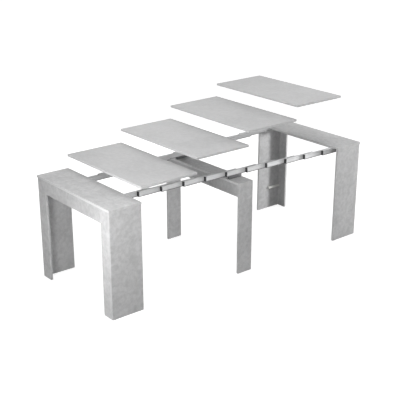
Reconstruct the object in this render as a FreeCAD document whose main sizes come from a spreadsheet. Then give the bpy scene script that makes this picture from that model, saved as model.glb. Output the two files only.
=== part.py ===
import FreeCAD, Part
import os
import re
import Sketcher

# Extending console table, drawn open with its four loose leaves lifted off above their places.
# Millimetres. X runs along the extension, the front side faces -Y, Z is up, and the origin
# lies on the floor under the middle frame.

LEAVES = 4
RAIL_STAGES = 11
MIDDLE_STAGE = (RAIL_STAGES + 1) // 2
FRAME_RAIL_SCREWS = 3

SIZES = {
    # the two end frames
    "table_height": 780,
    "top_width": 900,
    "top_depth": 255,
    "top_thickness": 16,
    "top_overhang": 4,
    "panel_thickness": 16,
    "stile_width": 84,
    "stile_thickness": 16,
    "apron_height": 100,
    "apron_thickness": 16,
    "edge_radius": 0.8,
    # the leaves, and how high each one is lifted off
    "leaf_length": 464.4,
    "leaf_gap": 0.6,
    "leaf_lift": 103,
    "leaf_lift_step": 103,
    # the telescopic rails
    "closed_gap": 1,
    "rail_height": 37,
    "rail_width": 15.6,
    "rail_wall": 2,
    "rail_lip": 1.8,
    "rail_run_gap": 0.4,
    "rail_seat_gap": 0.3,
    "rail_side_room": 38.4,
    "rail_end_gap": 6,
    "rail_nose": 21,
    "rail_stagger": 4.5,
    "tongue_edge": 9,
    "tongue_neck": 1.5,
    "tongue_head": 5,
    "tongue_head_depth": 2,
    "tongue_gap": 0.25,
    "stop_length": 8,
    "stop_inset": 2,
    # the middle frame
    "centre_depth": 130,
    "centre_side_gap": 2,
    "centre_leg_thickness": 16,
    "centre_top_thickness": 16,
    "centre_apron_height": 88,
    "centre_apron_thickness": 16,
    "bearer_height": 23,
    "bearer_wall": 2,
    "bearer_side_gap": 0.3,
    "bearer_setback": 5,
    # glides, cleats and screws
    "glide_height": 3,
    "glide_radius": 6.5,
    "glide_bevel": 1,
    "glide_inset": 25,
    "cleat_length": 125,
    "cleat_section": 16,
    "cleat_height": 180,
    "screw_diameter": 4,
    "screw_gap": 0.2,
    "screw_head_radius": 3.7,
    "screw_head_height": 2.6,
    "screw_drive_radius": 1.7,
    "screw_drive_depth": 1.6,
    "screw_bite": 11,
    "screw_edge": 30,
    "screw_pitch": 82,
    "screw_tip_room": 2,
}

doc = FreeCAD.newDocument("extending_console_table")
sheet = doc.addObject("Spreadsheet::Sheet", "sizes")
for row, (name, size) in enumerate(SIZES.items(), start=1):
    sheet.set(f"A{row}", name)
    sheet.set(f"B{row}", str(size))
    sheet.setAlias(f"B{row}", name)
doc.recompute()

NODES = []
ALONG_Z = FreeCAD.Vector(0, 0, 1)
HALF_TURN = 180
HEX_SIDES = 6


def tied(text):
    """The formula with every size name pointing at its cell."""
    return re.sub(r"[a-z_]{2,}", lambda word: "sizes." + word.group(), text)


def number(text):
    return float(sheet.evalExpression(tied(text)))


def bind(thing, prop, text):
    thing.setExpression(prop, tied(text))


def seat(thing, x, y, z):
    """Tie the place of a piece's own origin to the sizes."""
    for axis, text in zip("xyz", (x, y, z)):
        bind(thing, f"Placement.Base.{axis}", text)


def mirrored(limits):
    low, high = limits
    return f"-({high})", f"-({low})"


def new_body(label):
    body = doc.addObject("PartDesign::Body", label)
    body.Label = label
    return body


def sketch_on(body, role, name):
    plane = next(item for item in body.Origin.OriginFeatures if item.Role == role)
    sketch = body.newObject("Sketcher::SketchObject", f"{body.Name}_{name}")
    sketch.AttachmentSupport = [(plane, "")]
    sketch.MapMode = "FlatFace"
    return sketch


def pin_point(sketch, item, spot, place):
    """Hold one sketch point at its two formulas, measured from the sketch's origin."""
    for axis, line, text in zip("XY", (-2, -1), place):
        if text == "0":
            sketch.addConstraint(Sketcher.Constraint("PointOnObject", item, spot, line))
            continue
        rule = Sketcher.Constraint(f"Distance{axis}", -1, 1, item, spot, number(text))
        index = sketch.addConstraint(rule)
        bind(sketch, f"Constraints[{index}]", text)


def closed_outline(sketch, places):
    """A closed outline of straight lines through places written as pairs of formulas."""
    first = sketch.GeometryCount
    corners = [FreeCAD.Vector(number(x), number(y), 0) for x, y in places]
    for start, end in zip(corners, corners[1:] + corners[:1]):
        sketch.addGeometry(Part.LineSegment(start, end), False)
    for step, place in enumerate(places):
        after = first + (step + 1) % len(places)
        sketch.addConstraint(Sketcher.Constraint("Coincident", first + step, 2, after, 1))
        pin_point(sketch, first + step, 1, place)


def rectangle(sketch, x_limits, y_limits):
    (x_low, x_high), (y_low, y_high) = x_limits, y_limits
    closed_outline(sketch, [(x_low, y_low), (x_high, y_low), (x_high, y_high), (x_low, y_high)])


def pad(body, sketch, length):
    feature = body.newObject("PartDesign::Pad", f"{body.Name}_pad")
    feature.Profile = sketch
    bind(feature, "Length", length)
    doc.recompute()
    return feature


def drill(body, name, places, diameter, depth):
    """Round holes from a body's underside upwards, each at a pair of formulas."""
    solid_before = body.Shape.Volume
    sketch = sketch_on(body, "XY_Plane", name)
    for x, y in places:
        centre = FreeCAD.Vector(number(x), number(y), 0)
        item = sketch.addGeometry(Part.Circle(centre, ALONG_Z, number(diameter) / 2), False)
        pin_point(sketch, item, 3, (x, y))
        index = sketch.addConstraint(Sketcher.Constraint("Diameter", item, number(diameter)))
        bind(sketch, f"Constraints[{index}]", diameter)
    pocket = body.newObject("PartDesign::Pocket", f"{body.Name}_{name}_cut")
    pocket.Profile = sketch
    pocket.Type = "Length"
    pocket.Reversed = True
    bind(pocket, "Length", depth)
    doc.recompute()
    if body.Shape.Volume >= solid_before:
        raise RuntimeError(f"the holes {name} miss {body.Label}")


def board(label, x_limits, y_limits, z_limits):
    """A laminated board between three pairs of limits, with all its edges eased."""
    spans = [f"({high}) - ({low})" for low, high in (x_limits, y_limits, z_limits)]
    body = new_body(label)
    sketch = sketch_on(body, "XY_Plane", "face")
    rectangle(sketch, ("0", spans[0]), ("0", spans[1]))
    block = pad(body, sketch, spans[2])
    ease = body.newObject("PartDesign::Fillet", f"{label}_eased")
    ease.Base = (block, [""])
    ease.UseAllEdges = True
    bind(ease, "Radius", "edge_radius")
    seat(body, x_limits[0], y_limits[0], z_limits[0])
    doc.recompute()
    return body


def group(label, pieces):
    """Separate loose solids of one kind that share a node."""
    gathered = doc.addObject("Part::Compound", label)
    gathered.Label = label
    gathered.Links = pieces
    NODES.append(gathered)


def primitive(kind, name, place, sizes):
    thing = doc.addObject(kind, name)
    for prop, text in sizes.items():
        bind(thing, prop, text)
    seat(thing, *place)
    return thing


# Shared places, as formulas on the sizes
OPENING = f"{LEAVES} * (leaf_length + leaf_gap)"
STROKE = f"({OPENING} - closed_gap) / {RAIL_STAGES - 1}"
INNER_EDGE = f"{OPENING} / 2"
OUTER_EDGE = f"({INNER_EDGE} + top_depth)"
LEG_OUTER_X = f"({OUTER_EDGE} - top_overhang)"
LEG_OUTER_Y = "(top_width / 2 - top_overhang)"
PANEL_INNER_Y = f"({LEG_OUTER_Y} - panel_thickness)"
STILE_INNER_Y = f"({PANEL_INNER_Y} - stile_width)"
TOP_UNDERSIDE = "(table_height - top_thickness)"
RAIL_TOP = f"({TOP_UNDERSIDE} - rail_seat_gap)"
RAIL_BOTTOM = f"({RAIL_TOP} - rail_height)"
APRON_INNER_X = f"({LEG_OUTER_X} - apron_thickness)"

RAIL_PITCH = "(rail_width + rail_run_gap)"
RAIL_MIDDLE_START = "(-(centre_depth / 2 + rail_nose))"
RAIL_CLOSED_END = "(top_depth - top_overhang - apron_thickness - rail_end_gap)"
RAIL_OUTERMOST_Y = f"({PANEL_INNER_Y} - rail_side_room)"
FRAME_RAIL_END = f"({APRON_INNER_X} - rail_end_gap)"


def stage_start(stage):
    """Where a stage's rail begins along X with the table open."""
    return f"({RAIL_MIDDLE_START} + {stage - MIDDLE_STAGE} * ({STROKE} - rail_stagger))"


def stage_end(stage):
    """Where it ends; all the sliding rails are equally long and lie staggered with the table closed."""
    return f"({RAIL_CLOSED_END} + {stage - MIDDLE_STAGE} * {STROKE} - {stage - 1} * rail_stagger)"


def stage_inner_y(stage):
    """The distance from the table's middle line to the inner face of a stage's rail."""
    return f"({RAIL_OUTERMOST_Y} - rail_width - {RAIL_STAGES - stage} * {RAIL_PITCH})"


# End frames: a top on two corner legs of panel and stile, with an apron across the end
def rail_screw_places():
    """Distances of the frame screws from the table's middle, along X."""
    return [f"({FRAME_RAIL_END} - screw_edge - {turn} * screw_pitch)" for turn in range(FRAME_RAIL_SCREWS)]


def end_frame(end, stage):
    """The boards of one end frame; the left one lies on the -X side."""
    def across(limits):
        return limits if end == "right" else mirrored(limits)

    sides = {"front": mirrored, "back": tuple}
    leg_z = ("glide_height", TOP_UNDERSIDE)
    top_x = across((INNER_EDGE, OUTER_EDGE))
    top_y = ("-top_width / 2", "top_width / 2")
    top = board(f"{end}_top", top_x, top_y, (TOP_UNDERSIDE, "table_height"))
    screw_y = f"({stage_inner_y(stage)} + rail_width / 2)"
    holes = []
    for place in rail_screw_places():
        local_x = f"({place}) - ({INNER_EDGE})"
        if end == "left":
            local_x = f"({OUTER_EDGE}) - ({place})"
        holes.append((local_x, f"top_width / 2 - {screw_y}"))
        holes.append((local_x, f"top_width / 2 + {screw_y}"))
    drill(top, "pilots", holes, "screw_diameter + screw_gap", "screw_bite + screw_gap")
    NODES.append(top)
    for side, facing in sides.items():
        panel_y = facing((PANEL_INNER_Y, LEG_OUTER_Y))
        stile_y = facing((STILE_INNER_Y, PANEL_INNER_Y))
        stile_x = across((f"{LEG_OUTER_X} - stile_thickness", LEG_OUTER_X))
        panel_x = across((INNER_EDGE, LEG_OUTER_X))
        NODES.append(board(f"{end}_panel_{side}", panel_x, panel_y, leg_z))
        NODES.append(board(f"{end}_stile_{side}", stile_x, stile_y, leg_z))
    apron_x = across((APRON_INNER_X, LEG_OUTER_X))
    apron_y = (f"-{STILE_INNER_Y}", STILE_INNER_Y)
    apron_z = (f"{TOP_UNDERSIDE} - apron_height", TOP_UNDERSIDE)
    NODES.append(board(f"{end}_apron", apron_x, apron_y, apron_z))


end_frame("left", 1)
end_frame("right", RAIL_STAGES)


# Leaves: loose boards as wide as the tops, each lifted off above its own place
for leaf in range(LEAVES):
    pitch = "(leaf_length + leaf_gap)"
    start = f"(-{INNER_EDGE} + leaf_gap / 2 + {leaf} * {pitch})"
    lift = f"(leaf_lift + {leaf} * leaf_lift_step)"
    leaf_y = ("-top_width / 2", "top_width / 2")
    leaf_z = (f"{TOP_UNDERSIDE} + {lift}", f"table_height + {lift}")
    NODES.append(board(f"leaf_{leaf + 1}", (start, f"{start} + leaf_length"), leaf_y, leaf_z))


# Middle frame: two flat legs joined by a top board and an apron, narrow enough to nest inside
CENTRE_OUTER_Y = f"({PANEL_INNER_Y} - centre_side_gap)"
CENTRE_INNER_Y = f"({CENTRE_OUTER_Y} - centre_leg_thickness)"
CENTRE_HEIGHT = f"({RAIL_BOTTOM} - bearer_height)"
CENTRE_TOP_UNDER = f"({CENTRE_HEIGHT} - centre_top_thickness)"
CENTRE_X = ("-centre_depth / 2", "centre_depth / 2")
BEARER_X = ("bearer_setback - centre_depth / 2", "centre_depth / 2 - bearer_setback")
BEARER_LENGTH = f"({BEARER_X[1]} - ({BEARER_X[0]}))"
BEARER_INNER_Y = f"({stage_inner_y(MIDDLE_STAGE)} + bearer_side_gap)"
BEARER_WIDTH = "(rail_width - 2 * bearer_side_gap)"
BEARER_HOLE_X = [f"({BEARER_X[0]} + {BEARER_LENGTH} / 4)", f"({BEARER_X[0]} + 3 * {BEARER_LENGTH} / 4)"]
BEARER_SCREW_Y = f"({stage_inner_y(MIDDLE_STAGE)} + rail_width / 2)"
CLEAR_HOLE = "screw_diameter + screw_gap"

leg_z = ("glide_height", CENTRE_HEIGHT)
NODES.append(board("centre_leg_back", CENTRE_X, (CENTRE_INNER_Y, CENTRE_OUTER_Y), leg_z))
NODES.append(board("centre_leg_front", CENTRE_X, mirrored((CENTRE_INNER_Y, CENTRE_OUTER_Y)), leg_z))
between_legs = (f"-{CENTRE_INNER_Y}", CENTRE_INNER_Y)
centre_top = board("centre_top", CENTRE_X, between_legs, (CENTRE_TOP_UNDER, CENTRE_HEIGHT))
top_holes = []
for place in BEARER_HOLE_X:
    top_holes.append((f"{place} + centre_depth / 2", f"{CENTRE_INNER_Y} + {BEARER_SCREW_Y}"))
    top_holes.append((f"{place} + centre_depth / 2", f"{CENTRE_INNER_Y} - {BEARER_SCREW_Y}"))
drill(centre_top, "bearer_holes", top_holes, CLEAR_HOLE, "centre_top_thickness")
NODES.append(centre_top)
apron_x = ("-centre_depth / 2", "centre_apron_thickness - centre_depth / 2")
apron_z = (f"{CENTRE_TOP_UNDER} - centre_apron_height", CENTRE_TOP_UNDER)
NODES.append(board("centre_apron", apron_x, between_legs, apron_z))


# Bearers: short steel channels that lift the middle rails to the height of the others
def bearer(side):
    body = new_body(f"bearer_{side}")
    sketch = sketch_on(body, "YZ_Plane", "section")
    inside = f"{BEARER_WIDTH} - bearer_wall"
    closed_outline(sketch, [
        ("0", "0"), ("bearer_wall", "0"), ("bearer_wall", "bearer_height - bearer_wall"),
        (inside, "bearer_height - bearer_wall"), (inside, "0"), (BEARER_WIDTH, "0"),
        (BEARER_WIDTH, "bearer_height"), ("0", "bearer_height"),
    ])
    pad(body, sketch, BEARER_LENGTH)
    places = [(f"{place} - ({BEARER_X[0]})", f"{BEARER_WIDTH} / 2") for place in BEARER_HOLE_X]
    drill(body, "holes", places, CLEAR_HOLE, "bearer_height")
    low_y = BEARER_INNER_Y if side == "back" else f"-({BEARER_INNER_Y} + {BEARER_WIDTH})"
    seat(body, BEARER_X[0], low_y, CENTRE_HEIGHT)
    return body


group("centre_bearers", [bearer("front"), bearer("back")])


# Rails: one aluminium extrusion, with two tongues on its inner face that run in the slots of the last
SLOT_NECK = "(tongue_neck / 2 + tongue_gap)"
SLOT_HEAD = "(tongue_head / 2 + tongue_gap)"
SLOT_DEPTH = "(rail_lip + tongue_head_depth + 2 * tongue_gap)"
TONGUE_SHOULDER = "tongue_head_depth"
INNER_FACE = f"({TONGUE_SHOULDER} + tongue_gap + rail_lip + rail_run_gap)"
OUTER_FACE = f"({INNER_FACE} + rail_width)"
RAIL_CENTRE = f"({INNER_FACE} + rail_width / 2)"
CHAMBER_LOW = f"(tongue_edge + {SLOT_HEAD} + rail_wall)"
CHAMBER_HIGH = f"(rail_height - {CHAMBER_LOW})"
TONGUE_HEIGHTS = ("tongue_edge", "(rail_height - tongue_edge)")


def slot_corners(middle):
    """One slot in the outer face, from its lower lip round to its upper one."""
    lip, floor = f"{OUTER_FACE} - rail_lip", f"{OUTER_FACE} - {SLOT_DEPTH}"
    neck_low, neck_high = f"{middle} - {SLOT_NECK}", f"{middle} + {SLOT_NECK}"
    head_low, head_high = f"{middle} - {SLOT_HEAD}", f"{middle} + {SLOT_HEAD}"
    return [
        (OUTER_FACE, neck_low), (lip, neck_low), (lip, head_low), (floor, head_low),
        (floor, head_high), (lip, head_high), (lip, neck_high), (OUTER_FACE, neck_high),
    ]


def tongue_corners(middle):
    """One tongue on the inner face, from the upper side of its neck round to the lower one."""
    neck_low, neck_high = f"{middle} - tongue_neck / 2", f"{middle} + tongue_neck / 2"
    head_low, head_high = f"{middle} - tongue_head / 2", f"{middle} + tongue_head / 2"
    return [
        (INNER_FACE, neck_high), (TONGUE_SHOULDER, neck_high), (TONGUE_SHOULDER, head_high), ("0", head_high),
        ("0", head_low), (TONGUE_SHOULDER, head_low), (TONGUE_SHOULDER, neck_low), (INNER_FACE, neck_low),
    ]


def section_outline(sketch, bottom, top, tongues):
    """Foot, slotted outer face, head, and the inner face with or without its tongues."""
    low, high = TONGUE_HEIGHTS
    corners = [(INNER_FACE, bottom), (OUTER_FACE, bottom)]
    corners += slot_corners(low) + slot_corners(high)
    corners += [(OUTER_FACE, top), (INNER_FACE, top)]
    if tongues:
        corners += tongue_corners(high) + tongue_corners(low)
    closed_outline(sketch, corners)


def lay_bar(body, stage, side, x_limits):
    """Set a bar in its stage's lane; the front ones are the same bar turned end for end."""
    low, high = x_limits
    lane = f"({stage_inner_y(stage)} - {INNER_FACE})"
    if side == "front":
        body.Placement = FreeCAD.Placement(FreeCAD.Vector(), FreeCAD.Rotation(ALONG_Z, HALF_TURN))
        seat(body, high, f"-{lane}", RAIL_BOTTOM)
    else:
        seat(body, low, lane, RAIL_BOTTOM)


def rail_limits(stage):
    if stage == 1:
        return f"-{FRAME_RAIL_END}", stage_end(stage)
    outer_end = FRAME_RAIL_END if stage == RAIL_STAGES else stage_end(stage)
    return f"{stage_start(stage)} + stop_length", outer_end


def rail_holes(stage):
    """The places along X where a rail is drilled, for the rails fixed to a frame."""
    if stage == 1:
        return [f"-{place}" for place in rail_screw_places()]
    if stage == RAIL_STAGES:
        return rail_screw_places()
    return BEARER_HOLE_X if stage == MIDDLE_STAGE else []


def rail(stage, side):
    low, high = rail_limits(stage)
    body = new_body(f"rail_{stage:02d}_{side}")
    sketch = sketch_on(body, "YZ_Plane", "section")
    section_outline(sketch, "0", "rail_height", True)
    chamber_y = (f"{INNER_FACE} + rail_wall", f"{OUTER_FACE} - rail_wall")
    rectangle(sketch, chamber_y, (CHAMBER_LOW, CHAMBER_HIGH))
    pad(body, sketch, f"({high}) - ({low})")
    lay_bar(body, stage, side, (low, high))
    places = []
    for place in rail_holes(stage):
        along = f"({high}) - ({place})" if side == "front" else f"({place}) - ({low})"
        places.append((along, RAIL_CENTRE))
    if places:
        depth = CHAMBER_LOW if stage == MIDDLE_STAGE else "rail_height"
        drill(body, "screw_holes", places, CLEAR_HOLE, depth)
    NODES.append(body)


def stop_pair(stage):
    """The black end stops that lead the rails of one stage, front and back."""
    limits = (stage_start(stage), f"{stage_start(stage)} + stop_length")
    pieces = []
    for side in ("front", "back"):
        body = new_body(f"stop_{stage:02d}_{side}")
        sketch = sketch_on(body, "YZ_Plane", "section")
        section_outline(sketch, "stop_inset", "rail_height - stop_inset", False)
        pad(body, sketch, "stop_length")
        lay_bar(body, stage, side, limits)
        pieces.append(body)
    group(f"rail_{stage:02d}_stops", pieces)


for stage in range(1, RAIL_STAGES + 1):
    rail(stage, "front")
    rail(stage, "back")
    if stage > 1:
        stop_pair(stage)


# Screws: pan heads with a hexagon socket, heads down, driven upwards
def screw(name, x, y, seat_height, length):
    head_low = f"({seat_height}) - screw_head_height"
    radius = {"Radius": "screw_diameter / 2", "Height": length}
    shank = primitive("Part::Cylinder", f"{name}_shank", (x, y, seat_height), radius)
    radius = {"Radius": "screw_head_radius", "Height": "screw_head_height"}
    head = primitive("Part::Cylinder", f"{name}_head", (x, y, head_low), radius)
    blank = doc.addObject("Part::Fuse", f"{name}_blank")
    blank.Base = head
    blank.Tool = shank
    radius = {"Circumradius": "screw_drive_radius", "Height": "screw_drive_depth"}
    socket = primitive("Part::Prism", f"{name}_socket", (x, y, head_low), radius)
    socket.Polygon = HEX_SIDES
    finished = doc.addObject("Part::Cut", name)
    finished.Base = blank
    finished.Tool = socket
    return finished


def frame_screws(end, stage):
    """Screws up through an end rail into the top above it."""
    length = f"({TOP_UNDERSIDE} + screw_bite - {RAIL_BOTTOM})"
    y = f"({stage_inner_y(stage)} + rail_width / 2)"
    pieces = []
    for turn, x in enumerate(rail_holes(stage)):
        pieces.append(screw(f"{end}_screw_front_{turn}", x, f"-{y}", RAIL_BOTTOM, length))
        pieces.append(screw(f"{end}_screw_back_{turn}", x, y, RAIL_BOTTOM, length))
    group(f"{end}_rail_screws", pieces)


def centre_screws():
    """Screws up through the middle frame's top and its bearers into the middle rails."""
    length = f"({RAIL_BOTTOM} + {CHAMBER_HIGH} - screw_tip_room - {CENTRE_TOP_UNDER})"
    pieces = []
    for turn, x in enumerate(BEARER_HOLE_X):
        pieces.append(screw(f"bearer_screw_front_{turn}", x, f"-{BEARER_SCREW_Y}", CENTRE_TOP_UNDER, length))
        pieces.append(screw(f"bearer_screw_back_{turn}", x, BEARER_SCREW_Y, CENTRE_TOP_UNDER, length))
    group("centre_bearer_screws", pieces)


frame_screws("left", 1)
frame_screws("right", RAIL_STAGES)
centre_screws()


# Glides: round plastic pads under every board that stands on the floor
def glide(name, x, y):
    flare = {"Radius1": "glide_radius - glide_bevel", "Radius2": "glide_radius", "Height": "glide_bevel"}
    foot = primitive("Part::Cone", f"{name}_foot", (x, y, "0"), flare)
    disc = {"Radius": "glide_radius", "Height": "glide_height - glide_bevel"}
    pad_disc = primitive("Part::Cylinder", f"{name}_disc", (x, y, "glide_bevel"), disc)
    whole = doc.addObject("Part::Fuse", name)
    whole.Base = foot
    whole.Tool = pad_disc
    return whole


PANEL_MID_Y = f"({LEG_OUTER_Y} - panel_thickness / 2)"
STILE_MID_X = f"({LEG_OUTER_X} - stile_thickness / 2)"
CENTRE_LEG_MID_Y = f"({CENTRE_OUTER_Y} - centre_leg_thickness / 2)"
FRAME_GLIDES = {
    "inner": (f"({INNER_EDGE} + glide_inset)", PANEL_MID_Y),
    "outer": (f"({LEG_OUTER_X} - glide_inset)", PANEL_MID_Y),
    "stile": (STILE_MID_X, f"({STILE_INNER_Y} + glide_inset)"),
}
for end, sign in (("left", "-"), ("right", "")):
    pads = []
    for spot, (x, y) in FRAME_GLIDES.items():
        pads.append(glide(f"{end}_glide_{spot}_front", f"{sign}{x}", f"-{y}"))
        pads.append(glide(f"{end}_glide_{spot}_back", f"{sign}{x}", y))
    group(f"{end}_glides", pads)
centre_pads = []
for spot, x in (("left", "glide_inset - centre_depth / 2"), ("right", "centre_depth / 2 - glide_inset")):
    centre_pads.append(glide(f"centre_glide_{spot}_front", x, f"-{CENTRE_LEG_MID_Y}"))
    centre_pads.append(glide(f"centre_glide_{spot}_back", x, CENTRE_LEG_MID_Y))
group("centre_glides", centre_pads)


# Cleats: short battens low in the right frame's corners, against panel and stile
cleat_x = (f"{LEG_OUTER_X} - stile_thickness - cleat_length", f"{LEG_OUTER_X} - stile_thickness")
cleat_y = (f"{PANEL_INNER_Y} - cleat_section", PANEL_INNER_Y)
cleat_z = ("cleat_height", "cleat_height + cleat_section")
group("right_cleats", [
    board("cleat_front", cleat_x, mirrored(cleat_y), cleat_z),
    board("cleat_back", cleat_x, cleat_y, cleat_z),
])

doc.recompute()
for thing in doc.Objects:
    if {"Invalid", "Error"} & set(thing.State):
        raise RuntimeError(f"{thing.Label} failed: {thing.State}")
for node in NODES:
    if node.Shape.isNull() or not node.Shape.isValid():
        raise RuntimeError(f"{node.Label} has no valid shape")

os.makedirs("parts", exist_ok=True)
for node in NODES:
    node.Shape.exportStep(f"parts/{node.Label}.step")
    box = node.Shape.BoundBox
    low = [round(value, 1) for value in (box.XMin, box.YMin, box.ZMin)]
    high = [round(value, 1) for value in (box.XMax, box.YMax, box.ZMax)]
    print(node.Label, len(node.Shape.Solids), low, high)
print(len(NODES), "nodes; stroke of each rail", round(number(STROKE), 3))
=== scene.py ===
import itertools
import math

import bpy
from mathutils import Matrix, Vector


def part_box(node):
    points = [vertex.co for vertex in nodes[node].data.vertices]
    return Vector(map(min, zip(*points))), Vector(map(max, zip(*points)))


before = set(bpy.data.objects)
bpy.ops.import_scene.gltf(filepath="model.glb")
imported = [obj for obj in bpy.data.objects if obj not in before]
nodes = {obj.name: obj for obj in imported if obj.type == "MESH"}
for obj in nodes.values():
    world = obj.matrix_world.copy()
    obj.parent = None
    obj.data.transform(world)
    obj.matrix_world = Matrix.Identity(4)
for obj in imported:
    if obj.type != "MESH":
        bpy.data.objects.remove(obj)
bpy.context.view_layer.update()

# The boards of the two end frames: tops, side panels, stiles and aprons. Chipboard faced with a
# cement-effect melamine print, each cut from another place on the sheet, so that they differ by a shade.
# The long free edges carry an edge band painted paler, as painted light on these edge faces, and all
# arrises are eased and painted paler, partly as a little rubbing wear and partly as a painted highlight.
CEMENT_TONES = ((0.645, 0.645, 0.648, 1), (0.445, 0.445, 0.448, 1))
STILE_TONES = ((0.665, 0.665, 0.668, 1), (0.465, 0.465, 0.468, 1))
APRON_TONES = ((0.63, 0.63, 0.633, 1), (0.43, 0.43, 0.433, 1))
# The edge band's tones, paler than the print: painted light on the banded edge faces.
PAINTED_LIGHT_BAND_TONES = ((0.68, 0.68, 0.682, 1), (0.62, 0.62, 0.622, 1))
CLOUDS = {"per_metre": 5.5, "detail": 5.0, "roughness": 0.6, "distortion": 0.6}
MOTTLES = {"per_metre": 34, "detail": 6.0, "roughness": 0.62, "distortion": 0.3}
PORES = {"per_metre": 420, "detail": 2.0, "roughness": 0.5}
NOISE_LOW, NOISE_HIGH = 0.3, 0.7
MOTTLE_LOW, MOTTLE_HIGH = 0.32, 0.68
CLOUD_SHARE = 0.38
MOTTLE_SHARE = 0.52
PORE_SHARE = 0.1
CEMENT_SMOOTH, CEMENT_ROUGH = 0.5, 0.62
CEMENT_SHEEN = 0.35
MOTTLE_HEIGHT = 0.5
CEMENT_RELIEF = {"strength": 0.15, "distance": 0.0004}
BAND_THICKNESS = 0.001
OUT_OF_REACH = 1.0
# Paler arrises: partly a little rubbing wear, partly a painted highlight where the eased edges catch the
# light.
RUBBED_AND_HIGHLIT_TONE = (0.76, 0.76, 0.762, 1)
RUBBED_AND_HIGHLIT_SHARE = 0.5
RUBBED_AND_HIGHLIT_WIDTH = 0.0016
SHEET_STEP = Vector((1.37, 2.11, 0.83))
QUARTER_TURN = 90
CUTS = itertools.count(1)
MIX_COLOUR_INPUTS = (0, 6, 7)
MIX_COLOUR_OUTPUT = 2


def group_tree(name, inputs, outputs):
    """An empty shader node group with its named sockets and its two end nodes."""
    tree = bpy.data.node_groups.new(name, "ShaderNodeTree")
    for socket, kind in inputs:
        tree.interface.new_socket(socket, in_out="INPUT", socket_type=f"NodeSocket{kind}")
    for socket, kind in outputs:
        tree.interface.new_socket(socket, in_out="OUTPUT", socket_type=f"NodeSocket{kind}")
    return tree, tree.nodes.new("NodeGroupInput").outputs, tree.nodes.new("NodeGroupOutput").inputs


def add(tree, kind, **settings):
    """One shader node with some of its properties set."""
    node = tree.nodes.new(f"ShaderNode{kind}")
    for name, value in settings.items():
        setattr(node, name, value)
    return node


def feed(tree, socket, source):
    """Give a socket a plain value, or a link if the source is another node's socket."""
    if isinstance(source, bpy.types.NodeSocket):
        tree.links.new(source, socket)
    else:
        socket.default_value = source


def feed_row(tree, sockets, sources):
    """Feed sockets in their order."""
    for socket, source in zip(sockets, sources):
        feed(tree, socket, source)


def feed_named(tree, node, **sources):
    """Feed a node's sockets by their names, with an underscore for each space."""
    for name, source in sources.items():
        feed(tree, node.inputs[name.replace("_", " ")], source)


def maths(tree, operation, *values):
    """The result of one operation on two values."""
    node = add(tree, "Math", operation=operation)
    feed_row(tree, node.inputs, values)
    return node.outputs["Value"]


def vector_maths(tree, operation, first, second):
    """The result of one operation on two vectors."""
    node = add(tree, "VectorMath", operation=operation)
    feed_row(tree, node.inputs, (first, second))
    return node.outputs["Vector"]


def noise(tree, vector, per_metre, detail, roughness, distortion=0.0):
    """Soft noise, mostly between NOISE_LOW and NOISE_HIGH."""
    node = add(tree, "TexNoise")
    feed_named(tree, node, Vector=vector, Scale=per_metre, Detail=detail)
    feed_named(tree, node, Roughness=roughness, Distortion=distortion)
    return node.outputs["Fac"]


def blend_colours(tree, share, first, second):
    """A mix of two colours, with this share of the second."""
    node = add(tree, "Mix", data_type="RGBA")
    feed_row(tree, [node.inputs[index] for index in MIX_COLOUR_INPUTS], (share, first, second))
    return node.outputs[MIX_COLOUR_OUTPUT]


def spread(tree, value, low, high, new_low=0.0, new_high=1.0):
    """A value between low and high, eased into a new range."""
    node = add(tree, "MapRange", interpolation_type="SMOOTHSTEP")
    feed_row(tree, node.inputs, (value, low, high, new_low, new_high))
    return node.outputs["Result"]


def cement_print():
    """Cloudy trowelled cement: broad clouds, smaller mottles and fine pores."""
    sockets = [("Vector", "Vector"), ("Light", "Color"), ("Dark", "Color")]
    outputs = [("Color", "Color"), ("Roughness", "Float"), ("Height", "Float")]
    tree, given, result = group_tree("cement_print", sockets, outputs)
    clouds = noise(tree, given["Vector"], **CLOUDS)
    mottles = noise(tree, given["Vector"], **MOTTLES)
    pores = noise(tree, given["Vector"], **PORES)
    broad = spread(tree, clouds, NOISE_LOW, NOISE_HIGH, 0.0, CLOUD_SHARE)
    small = spread(tree, mottles, MOTTLE_LOW, MOTTLE_HIGH, 0.0, MOTTLE_SHARE)
    fine = maths(tree, "MULTIPLY", pores, PORE_SHARE)
    share = maths(tree, "ADD", maths(tree, "ADD", broad, small), fine)
    feed(tree, result["Color"], blend_colours(tree, share, given["Dark"], given["Light"]))
    dullness = spread(tree, mottles, NOISE_LOW, NOISE_HIGH, CEMENT_SMOOTH, CEMENT_ROUGH)
    feed(tree, result["Roughness"], dullness)
    feed(tree, result["Height"], maths(tree, "ADD", maths(tree, "MULTIPLY", mottles, MOTTLE_HEIGHT), pores))
    return tree


def smallest_two(tree, vector):
    """The smallest and the middle one of a vector's three numbers."""
    apart = add(tree, "SeparateXYZ")
    feed(tree, apart.inputs["Vector"], vector)
    x, y, z = apart.outputs
    smaller = maths(tree, "MINIMUM", x, y)
    larger = maths(tree, "MAXIMUM", x, y)
    middle = maths(tree, "MAXIMUM", smaller, maths(tree, "MINIMUM", larger, z))
    return maths(tree, "MINIMUM", smaller, z), middle


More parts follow.
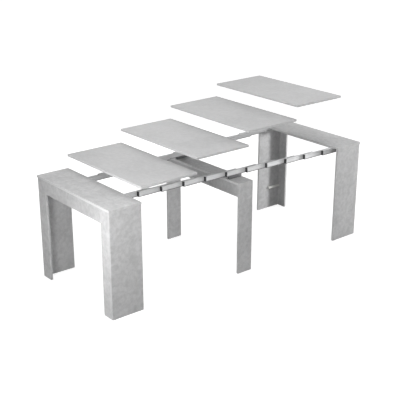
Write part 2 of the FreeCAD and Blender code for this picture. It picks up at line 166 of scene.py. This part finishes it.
def board_edges():
    """Masks on a board that fills the box Low to High: the banded edges, which are the sides that it shares
    with the box Band Low to Band High, and the arrises, where two sides meet."""
    sockets = [(name, "Vector") for name in ("Vector", "Low", "High", "Band Low", "Band High")]
    sockets += [("Thickness", "Float"), ("Width", "Float")]
    tree, given, result = group_tree("board_edges", sockets, [("Band", "Float"), ("Arris", "Float")])

    def depths(low, high):
        from_low = vector_maths(tree, "SUBTRACT", given["Vector"], given[low])
        from_high = vector_maths(tree, "SUBTRACT", given[high], given["Vector"])
        return smallest_two(tree, vector_maths(tree, "MINIMUM", from_low, from_high))

    edge, _ = depths("Band Low", "Band High")
    feed(tree, result["Band"], maths(tree, "LESS_THAN", edge, given["Thickness"]))
    _, corner = depths("Low", "High")
    feed(tree, result["Arris"], spread(tree, corner, 0.0, given["Width"], 1.0, 0.0))
    return tree


CEMENT_PRINT = cement_print()
BOARD_EDGES = board_edges()


def place_group(tree, group, **values):
    """The outputs of a node group set into a material."""
    node = add(tree, "Group", node_tree=group)
    feed_named(tree, node, **values)
    return node.outputs


def new_finish(name, **constants):
    """A material whose plain values are set on the shader itself, and its object coordinates."""
    material = bpy.data.materials.new(name)
    material.use_nodes = True
    tree = material.node_tree
    shader = tree.nodes["Principled BSDF"]
    feed_named(tree, shader, **constants)
    coordinates = add(tree, "TexCoord").outputs["Object"]
    return material, tree, shader.inputs, coordinates


def lay_out(tree, coordinates, **settings):
    """Coordinates moved, turned or stretched to lay a texture on a piece."""
    mapping = add(tree, "Mapping")
    feed_named(tree, mapping, Vector=coordinates, **settings)
    return mapping.outputs["Vector"]


def raise_surface(tree, shader, height, strength, distance):
    """Fine relief from a height."""
    bump = add(tree, "Bump")
    feed_named(tree, bump, Height=height, Strength=strength, Distance=distance)
    feed(tree, shader["Normal"], bump.outputs["Normal"])


def dress(node_name, material):
    """Give a piece its finish."""
    for slot in nodes[node_name].material_slots:
        slot.material = material


def cement_board(node_name, left_band=True, right_band=True, tones=CEMENT_TONES):
    """Face one board with the cement print, cut from its own place on the sheet, and band its long edges in
    a paler tone, which is painted light on those edges.
    """
    low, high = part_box(node_name)
    band_low = Vector(low) - OUT_OF_REACH * Vector((not left_band, 1, 1))
    band_high = Vector(high) + OUT_OF_REACH * Vector((not right_band, 1, 1))
    material, tree, shader, coordinates = new_finish(f"cement_{node_name}", Specular_IOR_Level=CEMENT_SHEEN)
    cut = next(CUTS)
    turn = (0.0, 0.0, math.radians(QUARTER_TURN * cut))
    sheet = lay_out(tree, coordinates, Location=SHEET_STEP * cut, Rotation=turn)
    light, dark = tones
    cement = place_group(tree, CEMENT_PRINT, Vector=sheet, Light=light, Dark=dark)
    # The banded edges take the paler band tones, painted light on these edge faces.
    light, dark = PAINTED_LIGHT_BAND_TONES
    lit_banding = place_group(tree, CEMENT_PRINT, Vector=sheet, Light=light, Dark=dark)
    edges = place_group(
        tree, BOARD_EDGES, Vector=coordinates, Low=low, High=high, Band_Low=band_low, Band_High=band_high,
        Thickness=BAND_THICKNESS, Width=RUBBED_AND_HIGHLIT_WIDTH
    )
    colour = blend_colours(tree, edges["Band"], cement["Color"], lit_banding["Color"])
    # The arrises are blended paler: a little rubbing wear and a painted highlight.
    rubbed_and_highlit = maths(tree, "MULTIPLY", edges["Arris"], RUBBED_AND_HIGHLIT_SHARE)
    feed(tree, shader["Base Color"], blend_colours(tree, rubbed_and_highlit, colour, RUBBED_AND_HIGHLIT_TONE))
    feed(tree, shader["Roughness"], cement["Roughness"])
    raise_surface(tree, shader, cement["Height"], **CEMENT_RELIEF)
    dress(node_name, material)


for end in ("left", "right"):
    cement_board(f"{end}_top")
    for board in ("panel_front", "panel_back"):
        cement_board(f"{end}_{board}", end == "right", end == "left")
    # The stiles take a shade paler print and the aprons a shade darker one.
    for board in ("stile_front", "stile_back"):
        cement_board(f"{end}_{board}", False, False, STILE_TONES)
    cement_board(f"{end}_apron", False, False, APRON_TONES)

# The four loose leaves, lifted off in rising steps. The same board as the tops, cut from calmer parts of
# the sheet and banded on the long edges, where they butt together in a row; the band is painted paler, as
# painted light on these edges.
LEAVES = 4
LEAF_TONES = ((0.605, 0.605, 0.608, 1), (0.49, 0.49, 0.493, 1))
for leaf in range(1, LEAVES + 1):
    cement_board(f"leaf_{leaf}", tones=LEAF_TONES)

# The middle frame: two flat legs with a top board and an apron between them. The same faced board with
# plain edges in the same print, set in far enough to nest between the end frames' panels. The top is painted
# paler, as painted light falling on it between the leaves, and the apron darker, as painted shade under the
# top and the leaves.
PAINTED_LIGHT_TONES = ((0.73, 0.73, 0.733, 1), (0.53, 0.53, 0.533, 1))
PAINTED_SHADE_TONES = ((0.57, 0.57, 0.573, 1), (0.385, 0.385, 0.388, 1))
for board in ("leg_front", "leg_back"):
    cement_board(f"centre_{board}", False, False)
# Painted light on the middle top and painted shade on the middle apron.
cement_board("centre_top", False, False, PAINTED_LIGHT_TONES)
cement_board("centre_apron", False, False, PAINTED_SHADE_TONES)

# The two cleats low in the right frame's corners: short battens of pale planed pine, glued against
# panel and stile, with the grain along them.
PINE_LIGHT = (0.86, 0.85, 0.83, 1)
PINE_DARK = (0.76, 0.75, 0.72, 1)
PINE_STRETCH = (6.0, 160.0, 160.0)
PINE_GRAIN = {"per_metre": 1.0, "detail": 4.0, "roughness": 0.6, "distortion": 0.8}
PINE_SMOOTH, PINE_ROUGH = 0.55, 0.7
PINE_SHEEN = 0.3
PINE_RELIEF = {"strength": 0.2, "distance": 0.0003}


def planed_pine():
    """Pale wood, duller and lower in the dark grain."""
    material, tree, shader, coordinates = new_finish("planed_pine", Specular_IOR_Level=PINE_SHEEN)
    grain = noise(tree, lay_out(tree, coordinates, Scale=PINE_STRETCH), **PINE_GRAIN)
    share = spread(tree, grain, NOISE_LOW, NOISE_HIGH)
    feed(tree, shader["Base Color"], blend_colours(tree, share, PINE_DARK, PINE_LIGHT))
    feed(tree, shader["Roughness"], spread(tree, grain, NOISE_LOW, NOISE_HIGH, PINE_ROUGH, PINE_SMOOTH))
    raise_surface(tree, shader, grain, **PINE_RELIEF)
    return material


dress("right_cleats", planed_pine())

# The telescopic rails: eleven extruded aluminium bars a side, satin anodised, with fine die lines along
# each bar and a dark band painted along its lower edge as painted shade under the bar. The bars at both ends
# are screwed up into the tops, and the middle one is screwed to the middle frame.
RAIL_STAGES = 11
ALUMINIUM_LIGHT = (0.77, 0.773, 0.777, 1)
ALUMINIUM_DARK = (0.64, 0.643, 0.647, 1)
ANODISED_METALLIC = 0.45
# Painted shade along the bars' lower edge.
LOWER_EDGE_SHADE_TONE = (0.17, 0.17, 0.173, 1)
LOWER_EDGE_SHADE_HEIGHT = 0.0045
DIE_STRETCH = (1.2, 900.0, 900.0)
DIE_LINES = {"per_metre": 1.0, "detail": 3.0, "roughness": 0.6}
DIE_SHARE = 0.6
DIE_RELIEF = {"strength": 0.12, "distance": 0.0002}
HAZE = {"per_metre": 18.0, "detail": 3.0, "roughness": 0.5}
HAZE_SHARE = 0.4
SHADE_LOW, SHADE_HIGH = 0.2, 0.8
SATIN_SMOOTH, SATIN_ROUGH = 0.58, 0.68


def extruded_aluminium():
    """Satin metal with die lines, a faint haze and a dark band of painted shade along the lower edge."""
    material, tree, shader, coordinates = new_finish("extruded_aluminium", Metallic=ANODISED_METALLIC)
    lines = noise(tree, lay_out(tree, coordinates, Scale=DIE_STRETCH), **DIE_LINES)
    haze = noise(tree, coordinates, **HAZE)
    line_part = maths(tree, "MULTIPLY", lines, DIE_SHARE)
    shade = maths(tree, "ADD", line_part, maths(tree, "MULTIPLY", haze, HAZE_SHARE))
    colour = blend_colours(tree, shade, ALUMINIUM_DARK, ALUMINIUM_LIGHT)
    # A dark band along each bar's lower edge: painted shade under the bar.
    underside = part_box("rail_01_front")[0][2]
    apart = add(tree, "SeparateXYZ")
    feed(tree, apart.inputs["Vector"], coordinates)
    lower_edge_shade = maths(tree, "LESS_THAN", apart.outputs["Z"], underside + LOWER_EDGE_SHADE_HEIGHT)
    feed(tree, shader["Base Color"], blend_colours(tree, lower_edge_shade, colour, LOWER_EDGE_SHADE_TONE))
    feed(tree, shader["Roughness"], spread(tree, shade, SHADE_LOW, SHADE_HIGH, SATIN_ROUGH, SATIN_SMOOTH))
    raise_surface(tree, shader, lines, **DIE_RELIEF)
    return material


ALUMINIUM = extruded_aluminium()
for stage in range(1, RAIL_STAGES + 1):
    dress(f"rail_{stage:02d}_front", ALUMINIUM)
    dress(f"rail_{stage:02d}_back", ALUMINIUM)

# The end stops: black nylon blocks moulded to the bars' section, one pushed on to the leading end of
# each bar after the first.
NYLON_BLACK = (0.012, 0.012, 0.013, 1)
NYLON_SHEEN = (0.03, 0.03, 0.032, 1)
NYLON_GRAINS_PER_METRE = 900
MOULDED_GRAIN = {"detail": 3.0, "roughness": 0.6}
MOULDED_SMOOTH, MOULDED_ROUGH = 0.42, 0.6
MOULDED_RELIEF = {"strength": 0.2, "distance": 0.0002}


def moulded_plastic(name, dark, light, grains_per_metre):
    """Plastic with the fine grain of its mould."""
    material, tree, shader, coordinates = new_finish(name)
    grain = noise(tree, coordinates, grains_per_metre, **MOULDED_GRAIN)
    feed(tree, shader["Base Color"], blend_colours(tree, grain, dark, light))
    dullness = spread(tree, grain, NOISE_LOW, NOISE_HIGH, MOULDED_SMOOTH, MOULDED_ROUGH)
    feed(tree, shader["Roughness"], dullness)
    raise_surface(tree, shader, grain, **MOULDED_RELIEF)
    return material


NYLON = moulded_plastic("black_nylon", NYLON_BLACK, NYLON_SHEEN, NYLON_GRAINS_PER_METRE)
for stage in range(2, RAIL_STAGES + 1):
    dress(f"rail_{stage:02d}_stops", NYLON)

# The bearers under the middle rails and all the screws: zinc-plated steel, whose crystals show as a
# faint spangle. The screws are left bright, and the bearers are painted a dark grey, as painted shade under
# the middle rails.
ZINC_LIGHT = (0.66, 0.67, 0.69, 1)
ZINC_DARK = (0.47, 0.48, 0.5, 1)
# The bearers' dark grey: painted shade under the middle rails.
SHADE_ZINC_LIGHT = (0.26, 0.26, 0.265, 1)
SHADE_ZINC_DARK = (0.17, 0.17, 0.175, 1)
SPANGLES_PER_METRE = 260
ZINC_SMOOTH, ZINC_ROUGH = 0.3, 0.45


def zinc_plate(name, dark, light):
    """Metal whose crystals each have their own tone and gloss."""
    material, tree, shader, coordinates = new_finish(name, Metallic=1.0)
    crystals = add(tree, "TexVoronoi")
    feed_named(tree, crystals, Vector=coordinates, Scale=SPANGLES_PER_METRE)
    tone = add(tree, "SeparateColor")
    feed(tree, tone.inputs["Color"], crystals.outputs["Color"])
    feed(tree, shader["Base Color"], blend_colours(tree, tone.outputs["Red"], dark, light))
    feed(tree, shader["Roughness"], spread(tree, tone.outputs["Green"], 0.0, 1.0, ZINC_SMOOTH, ZINC_ROUGH))
    return material


# The bearers' dark grey is painted shade under the middle rails.
dress("centre_bearers", zinc_plate("painted_shade_zinc", SHADE_ZINC_DARK, SHADE_ZINC_LIGHT))
ZINC = zinc_plate("bright_zinc", ZINC_DARK, ZINC_LIGHT)
for node_name in ("centre_bearer_screws", "left_rail_screws", "right_rail_screws"):
    dress(node_name, ZINC)

# The glides: round pads of moulded grey polythene, nailed under every board that stands on the floor,
# so that the end frames can be pulled out without marking it.
GLIDE_DARK = (0.2, 0.2, 0.205, 1)
GLIDE_LIGHT = (0.28, 0.28, 0.285, 1)
GLIDE_GRAINS_PER_METRE = 500
POLYTHENE = moulded_plastic("grey_polythene", GLIDE_DARK, GLIDE_LIGHT, GLIDE_GRAINS_PER_METRE)
for place in ("left", "right", "centre"):
    dress(f"{place}_glides", POLYTHENE)

# The floor: a plain pale studio floor that fades into white and keeps the table's soft shadow.
# It gives back a little less of the surround's white close to the table, where the lamps reach it.
WHITE = (1, 1, 1, 1)
FLOOR_SIDE = 60
FLOOR_TONE = (0.3, 0.3, 0.3, 1)
FLOOR_ROUGH = 0.9
FLOOR_LIFT_NEAR = 0.87
FLOOR_LIFT_FAR = 0.98
FLOOR_NEAR = 1.5
FLOOR_FAR = 6.0


def seen_directly(tree):
    """One for rays from the camera, in reflections and through clear pieces, and none for the rest."""
    rays = add(tree, "LightPath").outputs
    seen = maths(tree, "MAXIMUM", rays["Is Camera Ray"], rays["Is Glossy Ray"])
    return maths(tree, "MAXIMUM", seen, rays["Is Transmission Ray"])


bpy.ops.object.select_all(action="DESELECT")
bpy.ops.mesh.primitive_plane_add(size=FLOOR_SIDE)
floor = bpy.context.object
floor.name = "floor"
floor_finish, tree, shader, coordinates = new_finish(
    "studio_floor", Base_Color=FLOOR_TONE, Roughness=FLOOR_ROUGH, Emission_Color=WHITE
)
away = add(tree, "VectorMath", operation="LENGTH")
feed(tree, away.inputs[0], coordinates)
lift = spread(tree, away.outputs["Value"], FLOOR_NEAR, FLOOR_FAR, FLOOR_LIFT_NEAR, FLOOR_LIFT_FAR)
feed(tree, shader["Emission Strength"], maths(tree, "MULTIPLY", seen_directly(tree), lift))
floor.data.materials.append(floor_finish)

# The light: a pale surround, a large soft lamp overhead and smaller ones around the table, which shape its
# upright faces, with a pair low behind it. Two close to the near left corner light that stile and the end
# apron, and one past the right end reaches in to the far panel.
AMBIENT = 0.1
world = bpy.data.worlds.new("studio")
bpy.context.scene.world = world
world.use_nodes = True
tree = world.node_tree
strength = add(tree, "MapRange")
feed_row(tree, strength.inputs, (seen_directly(tree), 0.0, 1.0, AMBIENT, 1.0))
feed_named(tree, tree.nodes["Background"], Color=WHITE, Strength=strength.outputs["Result"])


def soft_lamp(name, place, aim, side, power):
    """A square lamp, in metres and watts, that lights the table but stays out of the picture."""
    lamp = bpy.data.objects.new(name, bpy.data.lights.new(name, "AREA"))
    lamp.data.shape = "SQUARE"
    lamp.data.size = side
    lamp.data.energy = power
    lamp.location = place
    lamp.rotation_euler = (Vector(aim) - Vector(place)).to_track_quat("-Z", "Y").to_euler()
    lamp.visible_camera = False
    bpy.context.scene.collection.objects.link(lamp)


soft_lamp("overhead", (0.1, -0.4, 5.0), (0.0, 0.0, 0.8), 4.0, 120)
soft_lamp("above_left", (-1.5, -0.3, 2.6), (0.2, 0.0, 1.0), 0.8, 6.4)
soft_lamp("above_right", (1.9, -0.3, 2.2), (1.05, 0.0, 0.78), 0.6, 4.6)
soft_lamp("right_low", (3.6, -1.4, 0.55), (0.9, 0.2, 0.5), 0.5, 76)
soft_lamp("left_end", (-2.25, -0.64, 0.8), (-1.18, -0.42, 0.6), 0.5, 12.2)
soft_lamp("near_corner", (-1.62, -0.62, 0.95), (-1.18, -0.42, 0.6), 0.3, 1.0)
soft_lamp("left_panel", (-1.3, -1.3, 1.15), (-1.06, -0.45, 0.62), 0.5, 5.0)
soft_lamp("middle_leg", (-0.1, -1.5, 1.3), (0.0, -0.43, 0.5), 0.5, 2.8)
soft_lamp("right_panel", (1.2, -1.6, 1.5), (1.05, -0.45, 0.65), 0.5, 1.3)
soft_lamp("far_panel", (1.62, -0.03, 0.4), (0.97, 0.43, 0.38), 0.25, 1.0)
soft_lamp("back_left", (-1.6, 3.0, 1.0), (-0.6, 0.4, 0.45), 1.2, 22)
soft_lamp("back_right", (1.6, 3.0, 1.0), (0.6, 0.4, 0.45), 1.2, 22)

# The camera, where the photograph was taken from: off the table's near left corner and above it, with
# a long lens, looking down.
CAMERA_PLACE = (-4.047, -4.854, 2.807)
CAMERA_BEARING = 50.702
CAMERA_DROP = 20.507
CAMERA_LENS = 80.26
turn, drop = math.radians(CAMERA_BEARING), math.radians(CAMERA_DROP)
sight = Vector((math.cos(turn) * math.cos(drop), math.sin(turn) * math.cos(drop), -math.sin(drop)))
camera = bpy.data.objects.new("camera", bpy.data.cameras.new("camera"))
camera.data.lens = CAMERA_LENS
camera.location = CAMERA_PLACE
camera.rotation_euler = sight.to_track_quat("-Z", "Y").to_euler()
bpy.context.scene.collection.objects.link(camera)
bpy.context.scene.camera = camera
bpy.context.scene.view_settings.view_transform = "Standard"
